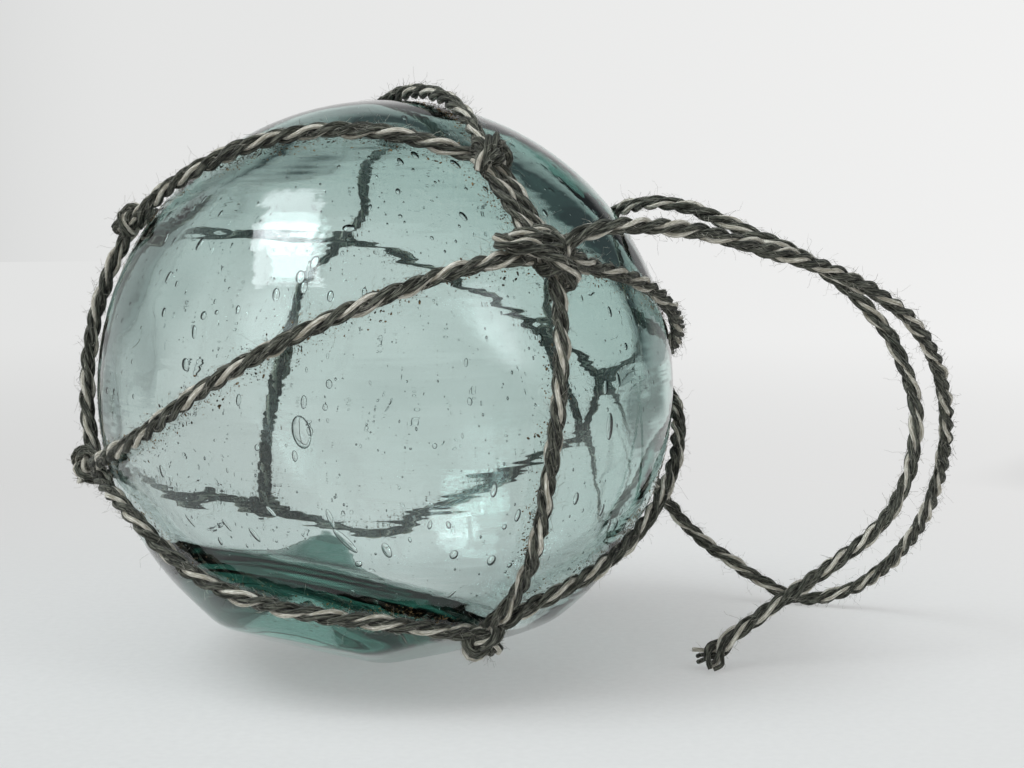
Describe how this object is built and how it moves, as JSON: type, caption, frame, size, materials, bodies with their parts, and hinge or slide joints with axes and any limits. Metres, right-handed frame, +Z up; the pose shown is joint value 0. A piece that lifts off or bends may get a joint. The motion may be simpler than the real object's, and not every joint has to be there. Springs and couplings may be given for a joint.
{
  "type": "glass float ball",
  "caption": "Hollow sea-green glass fishing float with a thick flat seal, held in a knotted twine net with loose twine ends.",
  "frame": {"origin": "middle of the small flat spot under the ball, on the surface that it lies on, straight below the ball's centre", "axes": "+Z up as the ball lies; -Y is the side with the large knot and the seal, +X is the side where the loose twine lies"},
  "size_m": [0.1171, 0.0754, 0.0761],
  "materials": {
    "glass": "polished, with seeds and bubbles",
    "twine": "matte, fuzzy laid twine, tarred brown with pale yarns"
  },
  "bodies": {
    "root": {"glass_ball": "glass", "net": "twine", "loop_cord": "twine", "tail_cord": "twine"}
  },
  "joints": []
}
